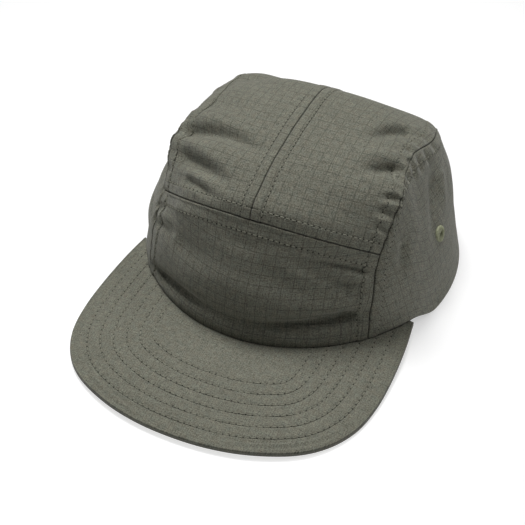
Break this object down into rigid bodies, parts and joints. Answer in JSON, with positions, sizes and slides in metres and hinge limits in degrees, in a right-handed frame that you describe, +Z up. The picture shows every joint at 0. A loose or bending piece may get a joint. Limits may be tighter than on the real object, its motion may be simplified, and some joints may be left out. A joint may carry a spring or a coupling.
{
  "type": "five panel cap",
  "caption": "Soft cloth cap with a low front panel, two top panels, two side panels, a flat stitched peak and a strap across the back opening.",
  "frame": {"origin": "middle of the cap's box in plan, on the surface that it rests on", "axes": "+Z up, the peak points to -Y, the wearer's left is +X"},
  "size_m": [0.1764, 0.2552, 0.0958],
  "materials": {
    "crown_cloth": "olive grey ripstop cotton, matte, with a fine square grid in the weave",
    "peak_cloth": "the same olive grey ripstop cotton over a stiff peak, stitched in six rows",
    "eyelet_thread": "lighter olive embroidery thread with a soft sheen",
    "strap_webbing": "olive grey webbing, matte",
    "slide_plastic": "dark matte moulded plastic"
  },
  "bodies": {
    "root": {"front_panel": "crown_cloth", "top_panel_left": "crown_cloth", "top_panel_right": "crown_cloth", "side_panel_left": "crown_cloth", "side_panel_right": "crown_cloth", "peak": "peak_cloth", "eyelet_left": "eyelet_thread", "eyelet_right": "eyelet_thread", "back_strap": "strap_webbing", "strap_slide": "slide_plastic"}
  },
  "joints": []
}
